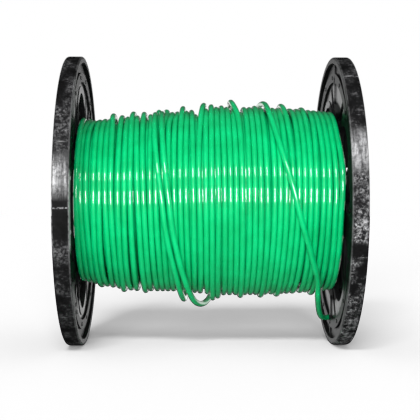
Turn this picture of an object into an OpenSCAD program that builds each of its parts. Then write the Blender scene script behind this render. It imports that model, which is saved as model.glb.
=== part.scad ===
// Plastic-flanged wire spool with a part-used winding of green insulated wire.
//
// The spool's axis lies along X and the origin is the middle of the arbor bore.
// +Z is up, and the free end of the wire hooks through the flange on the +X side.
// Angles around the axis run from +Y towards +Z, so 90 is the top and 180 is the front.

/* [Spool] */
// Diameter of each flange
flange_d = 165; // [162:1:170]
// Overall width over the two rims
spool_w = 159; // [158:0.5:162]
// Width of a rim along the axis
rim_w = 8.8; // [8:0.1:9.5]
// Radial thickness of a rim
rim_t = 3.4; // [2.5:0.1:4.5]
// Thickness of a flange's web
web_t = 2.4; // [1.6:0.1:2.8]
// Diameter of the arbor bore
arbor_d = 25.4; // [16:0.1:26]
// Outer diameter of the barrel tube
barrel_d = 60; // [60:0.5:62]
// Wall of the barrel tube
barrel_wall = 2.4; // [1.5:0.1:2.6]

/* [Flange openings] */
// Width of an arched window
window_w = 38; // [30:1:40]
// Width of the slot beside a window's frame
slot_w = 6; // [4:0.5:7]
// Diameter of a hole that takes the wire's outer end
tie_hole_d = 4.4; // [4:0.1:5]

/* [Wire] */
// Outer diameter of the insulated wire
wire_d = 3.1; // [2.8:0.1:3.3]
// Diameter of its copper conductor
copper_d = 2.05; // [1.6:0.05:2.2]
// Outer diameter of the inner layers of the winding
core_wind_d = 82; // [76:1:86]

/* [Tie bolts] */
// Thread diameter of a tie bolt
bolt_d = 5; // [4:0.5:5]
// Diameter of the circle that the tie bolts stand on
bolt_circle_d = 40; // [39.8:0.1:40.2]

/* [Hidden] */
$fn = 96;
small_fn = 32;
fit = 0.2;
cut = 1;
lap = 0.5;

plastic = [0.10, 0.10, 0.11];
fibre = [0.55, 0.45, 0.33];
zinc = [0.72, 0.73, 0.75];
green = [0.02, 0.62, 0.34];
copper = [0.80, 0.45, 0.25];

// Distances from the spool's middle along the axis, on one flange.
rim_out = spool_w / 2;
rim_in = rim_out - rim_w;
ring_in = rim_in + 0.9;
web_in = rim_in + 2.3;
web_out = web_in + web_t;
hub_in = rim_in - 8.7;
floor_in = rim_in - 2.7;
floor_out = floor_in + web_t;

// Radii on a flange: [inner, outer] where there are two.
flange_r = flange_d / 2;
recess_r = flange_r - rim_t;
ring_r = [recess_r - 10.9, recess_r - 5.7];
window_in = 36;
window_top = 62;
window_phase = 60;
slot_gap = 5;
slot_from = 38;
slot_to = 61;
spigot_r = [barrel_d / 2 - barrel_wall - 2.4, barrel_d / 2 - barrel_wall - fit];
hub_r = [arbor_d / 2, arbor_d / 2 + 2];
inner_rib_r = [56, recess_r + lap];
outer_rib_r = [spigot_r[1] - lap, recess_r + lap];
rib_t = 1.6;
inner_rib_count = 4;
inner_rib_phase = 7.4;
inner_rib_in = web_in - 0.9;
outer_rib_count = 16;
outer_rib_out = rim_out - 1.2;
outer_rings = [50.8, 58, 65.2];
outer_ring_out = rim_out - 2.4;
frame_w = 4;
frame_in = web_in - 0.5;
rim_round = 1.2;
window_round = 3;
round_lap = 0.03;
round_run = 2;
quarters = 4;
bolts = 3;
boss_r = 70.8;
boss_d = 2.2;
boss_in = ring_in - 0.45;
boss_h = 1;
boss_count = 16;
boss_phase = 4.5;
tie_hole_r = 69.6;
tie_hole_angle = -79.2;
start_hole_r = [33.4, 37];
start_hole_angle = 105;
start_hole_w = 4.4;

// The left flange is the same moulding, turned end for end and then by this angle.
left_turn = 63;

// Tie bolts, at angles that line up through both flanges.
bolt_r = bolt_d / 2;
bolt_circle_r = bolt_circle_d / 2;
bolt_phase = 90 + left_turn / 2;
bolt_boss_r = 4.4;
bolt_hole_r = bolt_r + 0.25;
washer_t = 1;
hex_r = 1.6 * bolt_r / cos(30);
head_h = 3.5;
nut_h = 4;
thread_proud = 1.5;

// Envelope of the winding: [position along the axis, outer radius].
envelope = [
    [-72.4, 45.5], [-60, 48], [-42, 50.5], [-15, 52],
    [5, 54.4], [30, 54.2], [50, 53.4], [71.3, 51.5]
];
wire_r = wire_d / 2;
core_wind_r = core_wind_d / 2;
wind_from = envelope[0][0];
wind_to = envelope[len(envelope) - 1][0];
turns = ceil((wind_to - wind_from) / wire_d) + 1;
turn_pitch = (wind_to - wind_from - wire_d) / (turns - 1);

// Loose stretches that lie on the winding: [angle, position along the axis, stand-off],
// where the stand-off is the height of the wire's centre line over the envelope.
leaning_on = [
    [165, -27.2, 2], [180, -25.3, 2], [195, -23.7, 2.1], [210, -21.3, 2.4],
    [225, -18.6, 2.8], [240, -16.4, 3.4], [255, -14.6, 4], [270, -13.5, 4.2],
    [285, -12.8, 3.6], [300, -12.2, 2.6], [315, -11.8, 2]
];
loop_on = [
    [165, -23.3, 2.2], [180, -21.6, 2.2], [195, -20, 2.4], [210, -17.4, 3],
    [225, -14.4, 4], [240, -11, 5.2], [255, -7.4, 6], [270, -3, 6], [283, 1, 4.8],
    [296, 4, 3], [310, 5.5, 2]
];
tail_on = [
    [70, 29, 1.9], [85, 30.5, 1.9], [100, 32, 1.9], [115, 33, 1.9],
    [130, 34.5, 1.9], [145, 37, 1.9], [160, 40.5, 1.9], [175, 44.5, 1.9],
    [190, 48, 1.9], [205, 52.5, 1.9], [220, 56.5, 1.9], [233, 59.5, 2.1]
];
// The tail's last stretch, clear of the winding and through the tie hole: [x, y, z].
tail_free = [
    [61, -22.5, -53.2], [62.8, -11.5, -60.3], [65, -1.5, -65.4], [67.5, 6, -68],
    [70.8, 11, -68.7], [74.4, 12.9, -68.4], [77.4, 13, -68.4]
];
// The inner end, out through a start hole and up the left flange's outer face:
// [position along the axis, distance from the axis].
start_angle = 180 + left_turn - start_hole_angle - 360 / quarters;
start_run = [
    [-72.8, 33.3], [-74.2, 33.9], [-75.6, 34.9], [-76.7, 36.6], [-77.25, 39],
    [-77.3, 41.5], [-77.3, 43.5], [-77.3, 45.5], [-77.3, 48]
];
conductor_proud = 1;

// Outer radius of the winding at a position along the axis.
function env(x) = lookup(x, envelope);

// A point off the axis, from a position along it, a distance and an angle.
function around(x, r, angle) = [x, r * cos(angle), r * sin(angle)];
function on_winding(route) = [for (p = route) around(p[1], env(p[1]) + p[2], p[0])];

// Catmull-Rom curve through the points of a route, with steps to each stretch.
function knot(p, i) = p[max(0, min(len(p) - 1, i))];
function between(a, b, c, d, t) =
    0.5 * (2 * b + (c - a) * t + (2 * a - 5 * b + 4 * c - d) * pow(t, 2)
        + (3 * b - a - 3 * c + d) * pow(t, 3));
function spline(p, steps) = concat(
    [
        for (i = [0 : len(p) - 2], s = [0 : steps - 1])
        between(knot(p, i - 1), p[i], p[i + 1], knot(p, i + 2), s / steps)
    ],
    [p[len(p) - 1]]
);

// Direction of a path at each of its points, and a side vector that doesn't twist.
function unit(v) = v / norm(v);
function heading(p, i) = unit(knot(p, i + 1) - knot(p, i - 1));
function square_to(h, v) = unit(v - h * (h * v));
function sides(p, i = 0, last = [1, 0.3, 0.2]) =
    i == len(p) ? [] :
    let (s = square_to(heading(p, i), last)) concat([s], sides(p, i + 1, s));

leaning_path = spline(on_winding(leaning_on), 2);
loop_path = spline(on_winding(loop_on), 2);
tail_path = spline(concat(on_winding(tail_on), tail_free), 2);
start_path = [for (p = start_run) around(p[0], p[1], start_angle)];

// A round wire swept along a path, as one polyhedron.
module wire_along(path, d, facets = 8) {
    across = sides(path);
    points = [
        for (i = [0 : len(path) - 1], k = [0 : facets - 1])
        let (h = heading(path, i), u = across[i], a = 360 * k / facets)
        path[i] + d / 2 * (u * cos(a) + cross(h, u) * sin(a))
    ];
    walls = [
        for (i = [0 : len(path) - 2], k = [0 : facets - 1])
        let (a = i * facets + k, b = i * facets + (k + 1) % facets)
        [a, a + facets, b + facets, b]
    ];
    first_cap = [for (k = [0 : facets - 1]) k];
    last_cap = [for (k = [facets - 1 : -1 : 0]) (len(path) - 1) * facets + k];
    polyhedron(points, concat([first_cap], walls, [last_cap]), convexity = 6);
}

// The bare conductor, standing out of the last end of a path.
module conductor_at_end(path) {
    end = path[len(path) - 1];
    h = heading(path, len(path) - 1);
    translate(end) rotate([0, acos(h[2]), atan2(h[1], h[0])])
        cylinder(d = copper_d, h = conductor_proud, $fn = small_fn);
}

// Turns a shape drawn along Z onto the +X side, keeping angles around the axis.
module to_right() {
    rotate([0, 90, 0]) rotate([0, 0, 90]) children();
}

// The same for the -X side.
module to_left() {
    rotate([left_turn, 0, 0]) rotate([0, 0, 180]) to_right() children();
}

module tube(r, low, high) {
    rotate_extrude() translate([r[0], low]) square([r[1] - r[0], high - low]);
}

// The flange's pattern of windows and holes repeats four times around it.
module each_quarter(phase) {
    for (k = [0 : quarters - 1])
        rotate([0, 0, phase + 360 * k / quarters]) children();
}

module each_bolt() {
    for (k = [0 : bolts - 1])
        rotate([0, 0, bolt_phase + 360 * k / bolts]) translate([bolt_circle_r, 0, 0]) children();
}

// An arched outline that stands on a straight foot, grown on all sides by a margin.
// Its rounds are a little large, so that they cross its straight edges cleanly.
module arch(margin = 0) {
    half = window_w / 2 + margin;
    foot = window_in - margin;
    centre = window_top - window_w / 2;
    corner = window_round + margin;
    reach = centre + lap;
    translate([foot + corner, -half]) square([reach - foot - corner, 2 * half]);
    translate([foot, corner - half]) square([reach - foot, 2 * (half - corner)]);
    for (side = [-1, 1])
        translate([foot + corner, side * (half - corner)])
            circle(corner + round_lap, $fn = small_fn);
    intersection() {
        translate([centre, 0]) circle(half + round_lap);
        translate([centre - round_run, -half - cut]) square([2 * half, 2 * (half + cut)]);
    }
}

module rim() {
    rotate_extrude() {
        translate([recess_r, rim_in]) square([rim_t - rim_round, rim_w]);
        translate([recess_r, rim_in + rim_round]) square([rim_t, rim_w - 2 * rim_round]);
        for (z = [rim_in + rim_round, rim_out - rim_round])
            translate([flange_r - rim_round, z]) circle(rim_round, $fn = small_fn);
    }
}

// Radial ribs: how many, their first angle, radii, and low and high ends.
module ribs(count, phase, r, low, high) {
    for (k = [0 : count - 1])
        rotate([0, 0, phase + 360 * k / count])
        translate([r[0], -rib_t / 2, low]) cube([r[1] - r[0], rib_t, high - low]);
}

// Hub: a cup whose wall locates the barrel tube and whose floor takes the tie bolts.
module hub() {
    tube(hub_r, hub_in, rim_out);
    tube(spigot_r, hub_in, web_out);
    tube([hub_r[0] + lap, spigot_r[1] - lap], floor_in, floor_out);
    each_bolt() translate([0, 0, hub_in])
        cylinder(r = bolt_boss_r, h = floor_in - hub_in + lap, $fn = small_fn);
}

// The web with its windows and slots, and what stands on its inner face.
module web() {
    difference() {
        union() {
            tube([spigot_r[0], recess_r + lap], web_in, web_out);
            tube(ring_r, ring_in, web_in + lap);
            each_quarter(window_phase) translate([0, 0, frame_in])
                linear_extrude(web_in - frame_in + lap) arch(frame_w);
            ribs(inner_rib_count, inner_rib_phase, inner_rib_r, inner_rib_in, web_in + lap);
            bosses();
        }
        each_quarter(window_phase) window_and_slots();
    }
}

// Ribs and rings on the web's outer face, which run on across its windows.
module outer_ribs() {
    ribs(outer_rib_count, 0, outer_rib_r, web_out - lap, outer_rib_out);
    for (r = outer_rings)
        tube([r, r + rib_t], web_out - lap, outer_ring_out);
}

// A window, and the slots that run beside its frame.
module window_and_slots() {
    low = rim_in - cut;
    depth = web_out + cut - low;
    translate([0, 0, low]) linear_extrude(depth) arch();
    for (flip = [0, 1])
        mirror([0, flip, 0]) translate([slot_from, window_w / 2 + slot_gap, low])
            cube([slot_to - slot_from, slot_w, depth]);
}

// Small round bosses on the ring of the inner face.
module bosses() {
    for (k = [0 : boss_count - 1])
        rotate([0, 0, boss_phase + 360 * k / boss_count]) translate([boss_r, 0, boss_in])
            cylinder(d = boss_d, h = boss_h, $fn = small_fn);
}

// A radial slot with round ends, for the wire's inner end.
module start_hole() {
    translate([start_hole_r[0], -start_hole_w / 2, rim_in])
        cube([start_hole_r[1] - start_hole_r[0], start_hole_w, rim_w]);
    for (r = start_hole_r)
        translate([r, 0, rim_in]) cylinder(d = start_hole_w, h = rim_w, $fn = small_fn);
}

// Holes for the wire's two ends, and for the tie bolts.
module holes() {
    each_quarter(tie_hole_angle) translate([tie_hole_r, 0, rim_in])
        cylinder(d = tie_hole_d, h = rim_w, $fn = small_fn);
    each_quarter(start_hole_angle) start_hole();
    each_bolt() translate([0, 0, hub_in - cut])
        cylinder(r = bolt_hole_r, h = rim_in - hub_in + 2 * cut, $fn = small_fn);
}

module flange() {
    color(plastic) difference() {
        union() {
            rim();
            web();
            outer_ribs();
            hub();
        }
        holes();
    }
}

module left_flange() {
    to_left() flange();
}

module right_flange() {
    to_right() flange();
}

module barrel_tube() {
    color(fibre) to_right() tube([barrel_d / 2 - barrel_wall, barrel_d / 2], -web_in, web_in);
}

// Bolts whose heads sit on the left flange, with their threads out of the right one.
module tie_bolts() {
    head_at = floor_out + washer_t;
    end_at = floor_out + washer_t + nut_h + thread_proud;
    color(zinc) to_right() each_bolt() {
        translate([0, 0, -head_at - head_h]) cylinder(r = hex_r, h = head_h, $fn = 6);
        translate([0, 0, -head_at]) cylinder(r = bolt_r, h = head_at + end_at, $fn = small_fn);
    }
}

module washers(low) {
    color(zinc) to_right() each_bolt() translate([0, 0, low]) difference() {
        cylinder(r = 2 * bolt_r, h = washer_t, $fn = small_fn);
        translate([0, 0, -cut]) cylinder(r = bolt_hole_r, h = washer_t + 2 * cut, $fn = small_fn);
    }
}

module head_washers() {
    washers(-floor_out - washer_t);
}

module nut_washers() {
    washers(floor_out);
}

module hex_nuts() {
    color(zinc) to_right() each_bolt() translate([0, 0, floor_out + washer_t]) difference() {
        cylinder(r = hex_r, h = nut_h, $fn = 6);
        translate([0, 0, -cut]) cylinder(r = bolt_r + 0.05, h = nut_h + 2 * cut, $fn = small_fn);
    }
}

module inner_winding() {
    color(green) to_right() tube([barrel_d / 2 + fit / 2, core_wind_r], wind_from, -wind_from);
}

// The top layers, with one round turn beside another over the whole width.
module outer_winding() {
    bed = wire_r - 0.35;
    color(green) to_right() rotate_extrude() {
        polygon(concat(
            [[core_wind_r, wind_to], [core_wind_r, wind_from]],
            [for (p = envelope) [p[1] - bed, p[0]]]
        ));
        for (i = [0 : turns - 1])
            let (x = wind_from + wire_r + i * turn_pitch)
            translate([env(x) - wire_r, x]) circle(wire_r, $fn = small_fn);
    }
}

module leaning_turn() {
    color(green) wire_along(leaning_path, wire_d);
}

module loose_loop() {
    color(green) wire_along(loop_path, wire_d);
}

module free_tail() {
    color(green) wire_along(tail_path, wire_d);
}

module tail_conductor() {
    color(copper) conductor_at_end(tail_path);
}

module start_lead() {
    color(green) wire_along(start_path, wire_d);
}

module start_conductor() {
    color(copper) conductor_at_end(start_path);
}

left_flange();
right_flange();
barrel_tube();
tie_bolts();
head_washers();
nut_washers();
hex_nuts();
inner_winding();
outer_winding();
leaning_turn();
loose_loop();
free_tail();
tail_conductor();
start_lead();
start_conductor();
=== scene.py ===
"""A wire spool: black moulded flanges and a loose winding of glossy green wire.

The CAD flanges, barrel and fasteners stay, with better materials. The wire is built here, in
separate turns that are settled against one another, and replaces the CAD winding.
Positions are in metres. The spool's axis is X, and an angle round it runs from +Y to +Z,
so 90 is the top and 180 is the front.
"""

import math

import bpy
import numpy as np
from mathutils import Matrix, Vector


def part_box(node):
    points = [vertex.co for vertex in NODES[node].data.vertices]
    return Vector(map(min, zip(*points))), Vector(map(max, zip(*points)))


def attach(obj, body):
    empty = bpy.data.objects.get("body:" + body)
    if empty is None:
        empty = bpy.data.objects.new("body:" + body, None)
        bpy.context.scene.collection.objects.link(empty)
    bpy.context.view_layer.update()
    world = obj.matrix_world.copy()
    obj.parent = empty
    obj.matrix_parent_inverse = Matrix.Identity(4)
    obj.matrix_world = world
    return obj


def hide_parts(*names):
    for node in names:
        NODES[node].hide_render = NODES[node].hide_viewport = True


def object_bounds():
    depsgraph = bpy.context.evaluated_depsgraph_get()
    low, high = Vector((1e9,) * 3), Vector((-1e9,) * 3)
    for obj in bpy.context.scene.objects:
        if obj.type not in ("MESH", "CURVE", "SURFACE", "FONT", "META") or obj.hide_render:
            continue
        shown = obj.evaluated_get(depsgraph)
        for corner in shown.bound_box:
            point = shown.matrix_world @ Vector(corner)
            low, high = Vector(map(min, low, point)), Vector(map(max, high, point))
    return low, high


MM = 0.001
SEED = 12

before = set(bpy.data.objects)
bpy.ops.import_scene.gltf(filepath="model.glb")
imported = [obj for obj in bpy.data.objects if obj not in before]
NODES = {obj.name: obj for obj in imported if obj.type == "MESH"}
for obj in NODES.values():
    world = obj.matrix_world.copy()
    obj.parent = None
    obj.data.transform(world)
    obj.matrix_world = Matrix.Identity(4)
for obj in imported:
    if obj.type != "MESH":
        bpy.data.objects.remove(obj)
CAD_LOW, CAD_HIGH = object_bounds()

# The wire and its winding, as the CAD has them.
WIRE_D = 3.1 * MM
WIRE_R = WIRE_D / 2
BARREL_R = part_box("barrel_tube")[1].z
ENVELOPE_X = np.array([-72.4, -60, -42, -15, 5, 30, 50, 71.3]) * MM
ENVELOPE_R = np.array([45.5, 48, 50.5, 52, 54.4, 54.2, 53.4, 51.5]) * MM


def envelope(x):
    return np.interp(x, ENVELOPE_X, ENVELOPE_R)


def around(x, r, angle):
    a = np.radians(angle)
    return np.stack([x, r * np.cos(a), r * np.sin(a)], axis=-1)


# ---------------------------------------------------------------- camera

camera = bpy.data.objects.new("Camera", bpy.data.cameras.new("Camera"))
bpy.context.scene.collection.objects.link(camera)
camera.data.sensor_width = 36
camera.data.lens = 86.4
camera.data.clip_start = 0.01
camera.data.clip_end = 60
camera.location = (-0.0115, -0.5838, -0.0052)
camera.rotation_euler = (math.radians(90), 0, -math.atan2(0.0219, 0.9998))
bpy.context.scene.camera = camera
bpy.context.scene.view_settings.view_transform = "Standard"


# ---------------------------------------------------------------- tubes and routes


def smooth_route(points, steps):
    """A Catmull-Rom curve through the points."""
    p = np.asarray(points, float)
    padded = np.vstack([p[:1], p, p[-1:]])
    a, b, c, d = padded[:-3], padded[1:-2], padded[2:-1], padded[3:]
    t = (np.arange(steps) / steps)[None, :, None]
    a, b, c, d = (q[:, None, :] for q in (a, b, c, d))
    curve = 0.5 * (
        2 * b
        + (c - a) * t
        + (2 * a - 5 * b + 4 * c - d) * t**2
        + (3 * b - a - 3 * c + d) * t**3
    )
    return np.vstack([curve.reshape(-1, 3), p[-1:]])


def new_mesh_object(name, verts, faces):
    mesh = bpy.data.meshes.new(name)
    mesh.from_pydata(verts.tolist(), [], faces)
    mesh.polygons.foreach_set("use_smooth", [True] * len(mesh.polygons))
    mesh.set_sharp_from_angle(angle=math.radians(60))
    mesh.update()
    obj = bpy.data.objects.new(name, mesh)
    bpy.context.scene.collection.objects.link(obj)
    return obj


def tube_parts(path, diameter, sides):
    """Vertices and faces of a closed round tube along a path."""
    path = np.asarray(path, float)
    heading = np.gradient(path, axis=0)
    heading /= np.linalg.norm(heading, axis=1)[:, None]
    # The X axis is never along a wound turn, so it makes a side vector that doesn't twist.
    guide = np.tile([1.0, 0.3, 0.2], (len(path), 1))
    for i in range(len(path)):
        last = guide[i - 1] if i else guide[0]
        side = last - heading[i] * (heading[i] @ last)
        guide[i] = side / np.linalg.norm(side)
    other = np.cross(heading, guide)
    turn = 2 * np.pi * np.arange(sides) / sides
    turn = turn[None, :, None]
    ring = guide[:, None] * np.cos(turn) + other[:, None] * np.sin(turn)
    verts = (path[:, None] + diameter / 2 * ring).reshape(-1, 3)
    i, k = np.meshgrid(np.arange(len(path) - 1), np.arange(sides), indexing="ij")
    a, b = i * sides + k, i * sides + (k + 1) % sides
    walls = np.stack([a, a + sides, b + sides, b], axis=-1).reshape(-1, 4)
    caps = [list(range(sides)), [(len(path) - 1) * sides + k for k in reversed(range(sides))]]
    return verts, walls.tolist() + caps


def tubes(name, paths, diameter, sides):
    """One object holding a tube along each path."""
    verts, faces, count = [], [], 0
    for path in paths:
        v, f = tube_parts(path, diameter, sides)
        verts.append(v)
        faces += [[n + count for n in face] for face in f]
        count += len(v)
    return new_mesh_object(name, np.vstack(verts), faces)


# ---------------------------------------------------------------- cords

# [angle, place along the axis, stand-off of the centre line over the envelope], as in the CAD.
LEANING_ON = [
    (165, -27.2, 2), (180, -25.3, 2), (195, -23.7, 2.1), (210, -21.3, 2.4),
    (225, -18.6, 2.8), (240, -16.4, 3.4), (255, -14.6, 4), (270, -13.5, 4.2),
    (285, -12.8, 3.6), (300, -12.2, 2.6), (315, -11.8, 2),
]
LOOP_ON = [
    (165, -23.3, 2.2), (180, -21.6, 2.2), (195, -20, 2.4), (210, -17.4, 3),
    (225, -14.4, 4), (240, -11, 5.2), (255, -7.4, 6), (270, -3, 6), (283, 1, 4.8),
    (296, 4, 3), (310, 5.5, 2),
]
TAIL_ON = [
    (70, 29, 1.9), (85, 30.5, 1.9), (100, 32, 1.9), (115, 33, 1.9),
    (130, 34.5, 1.9), (145, 37, 1.9), (160, 40.5, 1.9), (175, 44.5, 1.9),
    (190, 48, 1.9), (205, 52.5, 1.9), (220, 56.5, 1.9), (233, 59.5, 2.1),
]
TAIL_FREE = [
    (61, -22.5, -53.2), (62.8, -11.5, -60.3), (65, -1.5, -65.4), (67.5, 6, -68),
    (70.8, 11, -68.7), (74.4, 12.9, -68.4), (77.4, 13, -68.4),
]
START_ANGLE = 48
START_RUN = [
    (-72.8, 33.3), (-74.2, 33.9), (-75.6, 34.9), (-76.7, 36.6), (-77.25, 39),
    (-77.3, 41.5), (-77.3, 43.5), (-77.3, 45.5), (-77.3, 48),
]


def on_winding(route):
    angle, x, off = np.array(route, float).T
    x, off = x * MM, off * MM
    return around(x, envelope(x) + off, angle)


leaning_path = smooth_route(on_winding(LEANING_ON), 4)
loop_path = smooth_route(on_winding(LOOP_ON), 4)
tail_path = smooth_route(np.vstack([on_winding(TAIL_ON), np.array(TAIL_FREE) * MM]), 4)
start_x, start_r = np.array(START_RUN).T * MM
start_path = smooth_route(around(start_x, start_r, START_ANGLE), 3)

CORD_SIDES = 16
loose = {}
for name, path, length, far_end, lay, ends in (
    ("leaning_turn", leaning_path, 0.145, "object", "taut", []),
    ("loose_loop", loop_path, 0.147, "object", "hanging", []),
    ("free_tail", tail_path, 0.222, "bare", "loose", ["tail_conductor"]),
    ("start_lead", start_path, None, None, None, []),
):
    piece = tubes("wire_" + name, [path], WIRE_D, CORD_SIDES)
    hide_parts(name)
    loose[name] = piece
    # The inner end stands out for a few diameters only, so no length is given for it.
    if length is None:
        continue

# ---------------------------------------------------------------- winding

STATIONS = 90
STEP = 360 / STATIONS
TURNS = 44
UNDER_TURNS = 45
TOP_SIDES = 14
DEEP_SIDES = 8
END_GAP = WIRE_R + 0.05 * MM
X_FIRST = ENVELOPE_X[0] + END_GAP
X_LAST = 69.8 * MM
UNDER_X_LAST = X_LAST + 0.8 * MM
CONTACT = WIRE_D * 1.003

# Turns that stand up over their neighbours: the turn's own place along the axis, the angle where
# it stands and the spread of that in degrees, and its place and height there, in mm.
STANDING = [
    (-72, 150, 90, -70.8, 4.2), (-69, 86, 30, -67.9, 1.2), (-52.5, 90, 34, -53.2, 3.2),
    (-49.8, 90, 28, -50.2, 1.5), (-42.5, 90, 34, -42.7, 2.8), (-36.5, 90, 34, -36.5, 2.0),
    (-18, 90, 38, -12.6, 2.2), (-8, 90, 38, -1.2, 2.8), (0, 90, 38, 4.2, 1.7),
    (8, 90, 30, 8.2, 0.9), (14.5, 90, 30, 14.4, 1.5), (18.5, 90, 38, 12.4, 4.6),
    (27, 90, 26, 26.2, 1.0), (34, 90, 26, 34.4, 0.8), (45, 90, 38, 40.6, 2.6),
    (54.5, 90, 26, 54.8, 1.4), (71, 164, 17, 71.2, 3.4), (-61, 262, 24, -60.5, 1.3),
    (-48, 266, 22, -48.6, 1.8), (-38, 258, 24, -37.6, 1.4), (2.5, 268, 22, 2.4, 4.2),
    (6.5, 264, 22, 6.6, 2.4), (20, 262, 24, 20.6, 1.6), (31, 266, 22, 30.4, 1.4),
    (41, 260, 24, 41.5, 1.6), (61.5, 268, 22, 61.6, 2.4),
]


def angles_of(count):
    return np.tile(np.arange(STATIONS) * STEP, count)


def sag(x, angle):
    """The slack turns on the left lie closer to the barrel at the top and hang lower below."""
    middle, spread, size = -45, 22, 1.3 * MM
    left = np.exp(-(((x / MM - middle) / spread) ** 2))
    return -size * np.sin(np.radians(angle)) * left


def lean(x, angle):
    """How far along the axis a turn leans: most of all from the lower front to the bottom."""
    places = [-70, -45, -29, -13, 8, 25, 50, 70]
    full = np.interp(x / MM, places, [0, 0.4, 3.4, 0, 0.6, -1, -3.4, -2.4])
    a = np.mod(angle, 360)
    down = np.interp(a, [0, 110, 175, 250, 300, 360], [0, 0, 0.1, 1, 1, 0])
    return full * MM * down


# How the turns settle: the size of their random waves along the axis and outwards, the number of
# waves, how far from a flange they fade, the part of a turn that lies flat against it, and the
# lead that a standing turn gets over its neighbours.
WAVE_X = 1.25 * MM
WAVE_R = 0.6 * MM
WAVES = 15
FADE = 6 * MM
FLAT = 0.9
LEAD = 1.2 * MM
# At each pass: how far a turn is smoothed, and drawn back to its place and down on its bed. In
# the last passes it is only moved apart from its neighbours.
SMOOTHING = 0.22
PULL_X = 0.03
PULL_R = 0.06
LAST_PASSES = 12
TOP_PASSES = 240
UNDER_PASSES = 60


def wander(rng, count, size):
    """A smooth random wave that runs on through all the turns."""
    turn = np.repeat(np.arange(count), STATIONS)
    total = np.radians(angles_of(count)) + 2 * np.pi * turn
    out = np.zeros(len(total))
    for _ in range(WAVES):
        rate = rng.uniform(0.12, 2.6)
        out += rng.normal() * np.sin(rate * total + rng.uniform(0, 2 * np.pi))
    return size * out / math.sqrt(WAVES)


def round_axis(path):
    """Angle, place along the axis, and distance from the axis, at each point of a path."""
    angle = np.degrees(np.unwrap(np.arctan2(path[:, 2], path[:, 1])))
    return angle, path[:, 0], np.hypot(path[:, 1], path[:, 2])


def fixed_at_stations(path):
    """Where a fixed strand crosses each station: arrays of station, x and r."""
    angle, x, r = round_axis(path)
    at = np.arange(math.ceil(angle.min() / STEP), math.floor(angle.max() / STEP) + 1)
    order = np.argsort(angle)
    x = np.interp(at * STEP, angle[order], x[order])
    r = np.interp(at * STEP, angle[order], r[order])
    return np.mod(at, STATIONS), x, r


def buried_end(path, turned, to_x, depth=WIRE_R, points=24):
    """The stretch that carries on smoothly past a path's first point: it goes a further angle
    round the axis, to a place along it in mm, and sinks to a depth in the winding."""
    angle, x, r = round_axis(path)
    off = r - envelope(x)
    t = np.linspace(0, 1, points)
    start, leave, arrive = 2 * t**3 - 3 * t**2 + 1, t**3 - 2 * t**2 + t, 3 * t**2 - 2 * t**3
    per_turn = turned / (angle[1] - angle[0])
    x = start * x[0] + leave * per_turn * (x[1] - x[0]) + arrive * to_x * MM
    off = start * off[0] + leave * per_turn * (off[1] - off[0]) - arrive * depth
    return around(x, envelope(x) + off, angle[0] + turned * t)


# The depth of the layer under the top one.
UNDER_DEPTH = 2.74 * WIRE_R
leads = [
    buried_end(leaning_path, -108, -29.4, UNDER_DEPTH),
    buried_end(leaning_path[::-1], 60, -11.2),
    buried_end(loop_path, -112, -26, UNDER_DEPTH),
    buried_end(loop_path[::-1], 60, 6.4),
    buried_end(tail_path, -95, 21),
]


def settle(turns, first, last, rng, bed, fixed, passes, standing=()):
    """Lets one layer of turns settle: apart from each other, down on the bed, and smooth."""
    n = STATIONS
    tiny = 1e-9
    angle = angles_of(turns)
    # The first and last turns lie flat against the flanges.
    share = np.clip((np.arange(turns * n) / n - FLAT) / (turns - 2 * FLAT), 0, 1)
    home = first + (last - first) * share
    free = np.clip(np.minimum(home - first, last - home) / FADE, 0, 1)
    x = home + free * (lean(home, angle) + wander(rng, turns, WAVE_X))
    low = bed(x, angle)
    r = low + np.abs(wander(rng, turns, WAVE_R))
    least = np.zeros_like(r)
    for slot, middle, width, place, height in standing:
        there = home[round(middle / STEP)::n]
        i = int(np.argmin(np.abs(there - slot * MM)))
        at = slice(i * n, (i + 1) * n)
        w = np.exp(-(((angle[at] - middle) / width) ** 2))
        x[at] += (place * MM - there[i]) * w
        least[at] += height * MM * w**2
        r[at] += height * MM * w**2 + LEAD * w
    target = x.copy()
    last_x = np.maximum(X_LAST, target)
    by_station = [np.arange(turns) * n + j for j in range(n)]
    for step in range(passes):
        settling = step < passes - LAST_PASSES
        for k in (1, 2, 3):
            dx, dr = x[k * n:] - x[:-k * n], r[k * n:] - r[:-k * n]
            dist = np.hypot(dx, dr) + tiny
            push = 0.5 * np.clip(CONTACT - dist, 0, None) / dist
            x[:-k * n] -= push * dx
            x[k * n:] += push * dx
            r[:-k * n] -= push * dr
            r[k * n:] += push * dr
        for stations, fx, fr in fixed:
            for j, its_x, its_r in zip(stations, fx, fr):
                at = by_station[j]
                dx, dr = x[at] - its_x, r[at] - its_r
                dist = np.hypot(dx, dr) + tiny
                push = np.clip(CONTACT - dist, 0, None) / dist
                x[at] += push * dx
                r[at] += push * dr
        if settling:
            x[1:-1] += SMOOTHING * (x[2:] + x[:-2] - 2 * x[1:-1])
            r[1:-1] += SMOOTHING * (r[2:] + r[:-2] - 2 * r[1:-1])
            x += PULL_X * (target - x)
            r += PULL_R * (bed(x, angle) + least - r)
        x = np.clip(x, X_FIRST, last_x)
        r = np.maximum(r, bed(x, angle))
    return around(x, r, angle)


rng = np.random.default_rng(SEED)
tail_on_winding = smooth_route(on_winding(TAIL_ON), 4)
fixed = [
    fixed_at_stations(p) for p in (leaning_path, loop_path, tail_on_winding, *leads)
]


def top_bed(x, angle):
    return envelope(x) - WIRE_R + sag(x, angle)


LAYER_STEP = WIRE_D * 0.87


def under_bed(x, angle):
    return top_bed(x, angle) - LAYER_STEP


top_path = settle(TURNS, X_FIRST, X_LAST, rng, top_bed, fixed, TOP_PASSES, STANDING)
under_path = settle(UNDER_TURNS, X_FIRST, UNDER_X_LAST, rng, under_bed, [], UNDER_PASSES)

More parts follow.
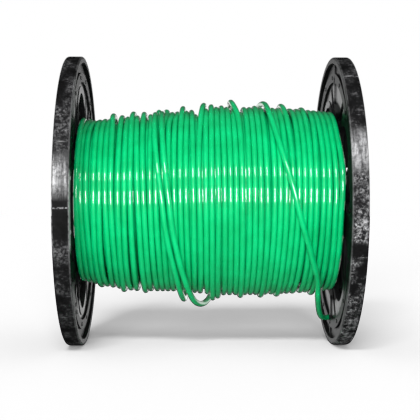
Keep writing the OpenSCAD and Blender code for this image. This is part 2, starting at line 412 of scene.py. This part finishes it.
top = tubes("winding_top_layer", [top_path, *leads], WIRE_D, TOP_SIDES)
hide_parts("outer_winding")
under = tubes("winding_under_layer", [under_path], WIRE_D, DEEP_SIDES)

# The layers below, closely wound to and fro, each as wide as the layers over it leave room for.
INNER_STATIONS = 48
ROOM_OVER = WIRE_R + LAYER_STEP * 1.9
inner_paths = []
layer_r = BARREL_R + WIRE_R + 0.15 * MM
across = np.linspace(X_FIRST, -X_FIRST, 400)
while True:
    room = across[envelope(across) - ROOM_OVER > layer_r]
    if not len(room):
        break
    turns = int((room[-1] - room[0]) / WIRE_D) + 1
    count = turns * INNER_STATIONS
    x = np.interp(np.arange(count), [0, count - 1], [room[0], room[-1]])
    if len(inner_paths) % 2:
        x = x[::-1]
    angle = np.arange(count) * 360 / INNER_STATIONS
    inner_paths.append(around(x, np.full(count, layer_r), angle))
    layer_r += LAYER_STEP
inner = tubes("winding_inner_layers", inner_paths, WIRE_D, DEEP_SIDES)
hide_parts("inner_winding")

for piece in (*loose.values(), top, under, inner):
    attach(piece, "root")

# ---------------------------------------------------------------- materials


class Shader:
    """A node material built call by call."""

    def __init__(self, name):
        self.material = bpy.data.materials.new(name)
        self.material.use_nodes = True
        self.tree = self.material.node_tree
        self.shader = self.tree.nodes["Principled BSDF"]

    def node(self, kind, inputs=None, **settings):
        made = self.tree.nodes.new(kind)
        for key, value in settings.items():
            setattr(made, key, value)
        for key, value in (inputs or {}).items():
            socket = made.inputs[key]
            if isinstance(value, bpy.types.NodeSocket):
                self.tree.links.new(value, socket)
            else:
                socket.default_value = value
        return made

    def set(self, **inputs):
        for key, value in inputs.items():
            socket = self.shader.inputs[key.replace("_", " ")]
            if isinstance(value, bpy.types.NodeSocket):
                self.tree.links.new(value, socket)
            else:
                socket.default_value = value

    def place(self):
        return self.node("ShaderNodeTexCoord").outputs["Object"]

    def noise(self, scale, detail=3, stretch=(1, 1, 1), roughness=0.5):
        mapped = self.node("ShaderNodeMapping", {"Vector": self.place(), "Scale": stretch})
        made = self.node(
            "ShaderNodeTexNoise",
            {"Vector": mapped.outputs[0], "Scale": scale, "Detail": detail, "Roughness": roughness},
        )
        return made.outputs["Fac"]

    def maths(self, operation, a, b=0.0, c=0.0):
        return self.node("ShaderNodeMath", {0: a, 1: b, 2: c}, operation=operation).outputs[0]

    def ranged(self, value, low, high, to_low=0.0, to_high=1.0):
        made = self.node(
            "ShaderNodeMapRange",
            {"Value": value, "From Min": low, "From Max": high, "To Min": to_low, "To Max": to_high},
        )
        return made.outputs[0]

    def mixed(self, share, a, b):
        made = self.node("ShaderNodeMix", data_type="RGBA")
        for socket, value in ((made.inputs[0], share), (made.inputs[6], a), (made.inputs[7], b)):
            if isinstance(value, bpy.types.NodeSocket):
                self.tree.links.new(value, socket)
            else:
                socket.default_value = value
        return made.outputs[2]

    def bump(self, height, strength, distance):
        made = self.node(
            "ShaderNodeBump", {"Height": height, "Strength": strength, "Distance": distance}
        )
        self.set(Normal=made.outputs[0])

    def radius(self):
        """Distance from the spool's axis."""
        parts = self.node("ShaderNodeSeparateXYZ", {0: self.place()}).outputs
        squares = [self.maths("MULTIPLY", part, part) for part in parts[1:3]]
        return self.maths("SQRT", self.maths("ADD", *squares))


def wire_material():
    m = Shader("green_nylon_jacket")
    slow = m.noise(90, 2)
    fine = m.noise(900, 2)
    shade = m.ranged(slow, 0.3, 0.7)
    m.set(
        Base_Color=m.mixed(shade, (0.0, 0.385, 0.116, 1), (0.0, 0.50, 0.163, 1)),
        Roughness=m.ranged(fine, 0.3, 0.7, 0.26, 0.34),
        Specular_IOR_Level=0.2,
        Coat_Weight=1.0,
        Coat_IOR=1.6,
        Coat_Roughness=0.05,
    )
    m.bump(m.noise(350, 3), 0.05, 0.0004)
    return m.material


# Where the flange's look changes: the tread of the rim and the raised ring by distance from the
# axis, the outer side and the rim's inner edge by distance from the middle, and the pale patch of
# painted highlight and wear by its height, with what is added on the right and taken off on the
# left.
TREAD_R = (0.0812, 0.0822)
RING_R = (0.0664, 0.0674)
WIRE_SHADE_R = (0.0600, 0.0570)
OUTER_SIDE_X = (0.0748, 0.0756)
INNER_EDGE_X = (0.0711, 0.0716)
PATCH_Z = 0.0185
PATCH_SHIFT = 0.0065
PALE_WEAR_AND_HIGHLIGHT = (0.60, 0.60, 0.61, 1)


def flange_material():
    m = Shader("black_recycled_plastic")
    radius = m.radius()
    parts = m.node("ShaderNodeSeparateXYZ", {0: m.place()}).outputs
    across = m.maths("ABSOLUTE", parts[0])
    cloudy = m.noise(60, 6, roughness=0.72)
    speckle = m.noise(640, 5, roughness=0.7)
    streak = m.noise(150, 5, stretch=(3.5, 1, 0.25), roughness=0.7)
    scratch = m.noise(260, 2, stretch=(0.12, 1, 2.2), roughness=0.4)
    tone = m.ranged(cloudy, 0.35, 0.72)
    on_rim = m.ranged(radius, *TREAD_R)

    # Shinier inside, and duller and darker on the rim's tread and on the outer side.
    inside = m.mixed(tone, (0.012, 0.012, 0.0125, 1), (0.030, 0.030, 0.031, 1))
    dull = m.mixed(tone, (0.003, 0.003, 0.003, 1), (0.013, 0.013, 0.014, 1))
    outer_side = m.ranged(across, *OUTER_SIDE_X)
    outer_ring = m.ranged(radius, *RING_R, 0.0, 0.75)
    # The face is also darker and less shiny close round the winding, where the darker colour is
    # painted shade from the turns, and across its front, where it keeps the turns' reflection down.
    in_front = m.ranged(parts[1], -0.01, -0.03)
    in_front = m.maths("MULTIPLY", in_front, m.ranged(m.maths("ABSOLUTE", parts[2]), 0.054, 0.042))
    beside_wire = m.maths("MAXIMUM", m.ranged(radius, *WIRE_SHADE_R), in_front)
    beside_wire = m.maths("MULTIPLY", beside_wire, m.ranged(on_rim, 0.0, 1.0, 0.9, 0.0))
    dullness = m.maths("MAXIMUM", m.maths("MAXIMUM", on_rim, outer_side), outer_ring)
    dullness = m.maths("MAXIMUM", dullness, beside_wire)
    base = m.mixed(dullness, inside, dull)

    # The rims are grazed all over and scratched here and there, and a painted highlight runs along
    # their inner edges.
    grazed = m.maths("MULTIPLY", m.ranged(cloudy, 0.46, 0.66), m.ranged(speckle, 0.46, 0.62))
    right_low = m.maths("MULTIPLY", m.ranged(parts[0], 0, 0.01), m.ranged(parts[2], 0.03, -0.01))
    amount = m.ranged(right_low, 0, 1, 0.22, 0.7)
    broken = m.ranged(speckle, 0.42, 0.60)
    lines = m.maths("MULTIPLY", m.maths("MULTIPLY", m.ranged(scratch, 0.69, 0.74), broken), 0.4)
    # A painted highlight along the rounded inner edge of each rim.
    edge_highlight = m.maths("MULTIPLY", m.ranged(across, *INNER_EDGE_X, 0.3, 0.0), tone)
    marks_and_edge_highlight = m.maths("MAXIMUM", m.maths("MULTIPLY", grazed, amount), lines)
    marks_and_edge_highlight = m.maths("MAXIMUM", marks_and_edge_highlight, edge_highlight)

    # A pale, speckled patch is painted on the front of each rim, a little higher on the right: a
    # painted highlight from the soft boxes, together with rubbing wear.
    middle = m.maths("MULTIPLY_ADD", m.maths("SIGN", parts[0]), PATCH_SHIFT, PATCH_Z)
    off_middle = m.maths("ABSOLUTE", m.maths("SUBTRACT", parts[2], middle))
    at_front = m.ranged(parts[1], -0.04, -0.06)
    patch_band = m.ranged(off_middle, 0.004, 0.013, 1.0, 0.0)
    highlight_and_wear_patch = m.maths("MULTIPLY", patch_band, m.ranged(streak, 0.36, 0.66, 0.12, 1.0))
    highlight_and_wear_patch = m.maths("MULTIPLY", highlight_and_wear_patch, m.ranged(speckle, 0.36, 0.60, 0.35, 1.0))
    highlight_and_wear_patch = m.maths("MULTIPLY", highlight_and_wear_patch, at_front)
    wear_and_highlight = m.maths("MULTIPLY", on_rim, m.maths("MAXIMUM", marks_and_edge_highlight, m.maths("MULTIPLY", highlight_and_wear_patch, 0.82)))
    scuff = m.maths("MULTIPLY", m.ranged(streak, 0.58, 0.72), m.ranged(cloudy, 0.50, 0.62))
    pale = m.maths("MAXIMUM", wear_and_highlight, m.maths("MULTIPLY", scuff, 0.08))

    # A pale stretch painted on the face inside the left rim, at the front.
    pale_stretch = m.maths("MULTIPLY", m.ranged(parts[0], 0, -0.01), m.ranged(parts[1], -0.062, -0.068))
    off_pale_stretch = m.maths("ABSOLUTE", m.maths("ADD", parts[2], 0.006))
    pale_stretch = m.maths("MULTIPLY", pale_stretch, m.ranged(off_pale_stretch, 0.017, 0.022, 0.8, 0.0))
    pale_stretch = m.maths("MULTIPLY", pale_stretch, m.ranged(on_rim, 0.0, 1.0, 1.0, 0.0))
    pale_stretch = m.maths("MULTIPLY", pale_stretch, m.ranged(cloudy, 0.3, 0.6, 0.5, 1.0))
    pale = m.maths("MAXIMUM", pale, pale_stretch)
    rough = m.maths("MULTIPLY", dullness, 0.6)
    shine = m.ranged(dullness, 0.0, 1.0, 0.6, 0.06)
    # The pale colour brings in the real grazes and scratches and also the painted highlights on the
    # rims.
    m.set(
        Base_Color=m.mixed(pale, base, PALE_WEAR_AND_HIGHLIGHT),
        Roughness=m.maths("MAXIMUM", m.ranged(cloudy, 0.3, 0.7, 0.26, 0.38), rough),
        Specular_IOR_Level=m.maths("MULTIPLY", shine, m.ranged(beside_wire, 0.0, 0.9, 1.0, 0.1)),
    )
    m.bump(speckle, 0.12, 0.0003)
    return m.material


def fibre_material():
    m = Shader("wound_fibreboard")
    grain = m.noise(240, 4, stretch=(1, 0.25, 0.25))
    m.set(
        Base_Color=m.mixed(grain, (0.24, 0.17, 0.10, 1), (0.46, 0.36, 0.25, 1)),
        Roughness=0.85,
    )
    m.bump(grain, 0.4, 0.0004)
    return m.material


def metal_material(name, dark, light, rough):
    m = Shader(name)
    grain = m.noise(700, 3, stretch=(0.2, 1, 1))
    m.set(
        Base_Color=m.mixed(grain, dark, light),
        Metallic=1.0,
        Roughness=m.ranged(grain, 0.3, 0.7, rough, rough + 0.15),
    )
    m.bump(grain, 0.1, 0.0002)
    return m.material


wire = wire_material()
for piece in (*loose.values(), top, under, inner):
    piece.data.materials.append(wire)

plastic = flange_material()
zinc = metal_material("zinc_plate", (0.50, 0.51, 0.53, 1), (0.72, 0.73, 0.74, 1), 0.25)
copper = metal_material("drawn_copper", (0.72, 0.31, 0.17, 1), (0.90, 0.47, 0.30, 1), 0.2)
fibre = fibre_material()
FINISHES = {
    "left_flange": plastic, "right_flange": plastic, "barrel_tube": fibre, "tie_bolts": zinc,
    "head_washers": zinc, "nut_washers": zinc, "hex_nuts": zinc,
    "tail_conductor": copper, "start_conductor": copper,
}
for name, finish in FINISHES.items():
    materials = NODES[name].data.materials
    materials.clear()
    materials.append(finish)

# ---------------------------------------------------------------- studio

FLOOR_HALF = 12
floor_mesh = bpy.data.meshes.new("floor")
corners = [(FLOOR_HALF * a, FLOOR_HALF * b, 0) for a, b in ((-1, -1), (1, -1), (1, 1), (-1, 1))]
floor_mesh.from_pydata(corners, [], [(0, 1, 2, 3)])
floor = bpy.data.objects.new("floor", floor_mesh)
floor.location.z = CAD_LOW.z
bpy.context.scene.collection.objects.link(floor)
paint = Shader("pale_floor")
pale = paint.mixed(paint.noise(3, 2), (0.90, 0.90, 0.90, 1), (0.94, 0.94, 0.94, 1))
paint.set(Base_Color=pale, Roughness=0.9)
floor_mesh.materials.append(paint.material)
floor.is_shadow_catcher = True
floor.visible_glossy = False

# The room is white to the camera and dimmer as a light. What shines on the spool reflects a white
# backdrop behind it, and otherwise a dark room.
AMBIENT = 0.26
DARK_ROOM = 0.06
BACKDROP = 1.2
world = bpy.data.worlds.new("studio")
bpy.context.scene.world = world
world.use_nodes = True
tree = world.node_tree


def world_node(kind, inputs, **settings):
    made = tree.nodes.new(kind)
    for key, value in settings.items():
        setattr(made, key, value)
    for key, value in inputs.items():
        if isinstance(value, bpy.types.NodeSocket):
            tree.links.new(value, made.inputs[key])
        else:
            made.inputs[key].default_value = value
    return made.outputs


def world_range(value, low, high, to_low, to_high):
    inputs = {"Value": value, "From Min": low, "From Max": high, "To Min": to_low, "To Max": to_high}
    return world_node("ShaderNodeMapRange", inputs)[0]


seen_by = world_node("ShaderNodeLightPath", {})
where = world_node("ShaderNodeTexCoord", {})["Generated"]
direction = world_node("ShaderNodeSeparateXYZ", {0: where})
height = world_node("ShaderNodeMath", {0: direction[2]}, operation="ABSOLUTE")[0]
level = world_range(height, 0.15, 0.26, BACKDROP - AMBIENT, DARK_ROOM - AMBIENT)
behind = world_range(direction[1], 0.3, 0.6, 0, 1)
# The backdrop stops short of the middle, where the tops of the turns would reflect it.
sides = [world_range(direction[0], *reach, 0, 1) for reach in ((0.06, 0.10), (-0.09, -0.13))]
beside = world_node("ShaderNodeMath", {0: sides[0], 1: sides[1]}, operation="MAXIMUM")[0]
behind = world_node("ShaderNodeMath", {0: behind, 1: beside}, operation="MULTIPLY")[0]
shine = world_node("ShaderNodeMix", {0: behind, 2: DARK_ROOM - AMBIENT, 3: level})[0]
strength = AMBIENT
for output, change in (("Is Camera Ray", 1 - AMBIENT), ("Is Glossy Ray", shine)):
    inputs = {0: seen_by[output], 1: change, 2: strength}
    strength = world_node("ShaderNodeMath", inputs, operation="MULTIPLY_ADD")[0]
tree.nodes["Background"].inputs["Color"].default_value = (1, 1, 1, 1)
tree.links.new(strength, tree.nodes["Background"].inputs["Strength"])


def softbox(name, place, aim, size, power):
    light = bpy.data.lights.new(name, "AREA")
    light.shape = "RECTANGLE"
    light.size, light.size_y = size
    light.energy = power
    lamp = bpy.data.objects.new(name, light)
    bpy.context.scene.collection.objects.link(lamp)
    lamp.location = place
    towards = Vector(aim) - Vector(place)
    lamp.rotation_euler = towards.to_track_quat("-Z", "Y").to_euler()
    return lamp


# Two soft boxes, one above the other, that make the two short highlights on each turn.
softbox("key_high", (-0.15, -1.24, 0.84), (0, 0, 0), (0.55, 0.27), 11)
softbox("key_low", (-0.10, -1.49, 0.17), (0, 0, 0), (0.60, 0.42), 24)
